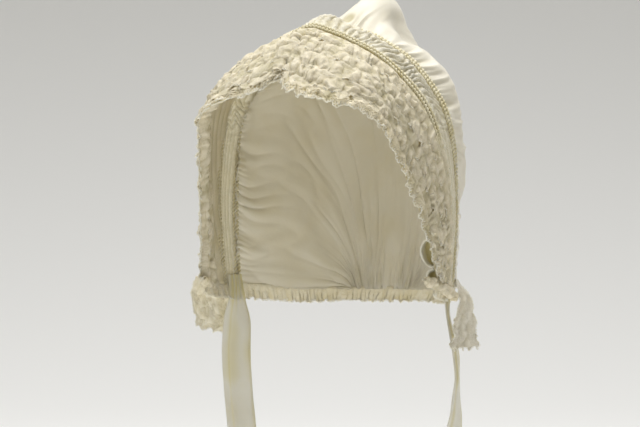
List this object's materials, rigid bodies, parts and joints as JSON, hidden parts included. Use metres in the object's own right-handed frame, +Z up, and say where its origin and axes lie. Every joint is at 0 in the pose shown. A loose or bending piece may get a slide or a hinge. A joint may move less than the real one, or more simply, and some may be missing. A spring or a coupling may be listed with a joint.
{
  "type": "infant's bonnet",
  "caption": "Infant's bonnet of gathered ivory lace and silk satin, with a sloping ruched brim, a puffed crown with a raised tuft, piping cords, a neck frill and two ribbon ties.",
  "frame": {"origin": "the seat inside the top, where the head that holds the bonnet up would touch it", "axes": "+Z up along the wearer's neck, -Y forward out of the face opening, +X to the wearer's left"},
  "size_m": [0.1716, 0.1842, 0.3713],
  "materials": {
    "ivory_lace": "gathered lace and net",
    "ivory_net": "gathered net over silk",
    "cream_satin": "soft silk satin",
    "cream_cord": "twisted silk piping",
    "cream_ribbon": "silk ribbon with a woven edge"
  },
  "bodies": {
    "root": {"brim": "ivory_lace", "front_lace": "ivory_lace", "brim_ruche_1": "ivory_lace", "brim_ruche_2": "ivory_lace", "brim_ruche_3": "ivory_lace", "brim_ruche_4": "ivory_lace", "brim_cord_front": "cream_cord", "brim_cord_back": "cream_cord", "band": "ivory_net", "crown_cord_front": "cream_cord", "crown_cord_back": "cream_cord", "crown": "cream_satin", "neck_frill": "ivory_lace", "lace_tail_left": "ivory_lace", "lace_corner_right": "ivory_lace", "side_loop": "cream_ribbon", "tie_left": "cream_ribbon", "tie_right": "cream_ribbon"}
  },
  "joints": []
}
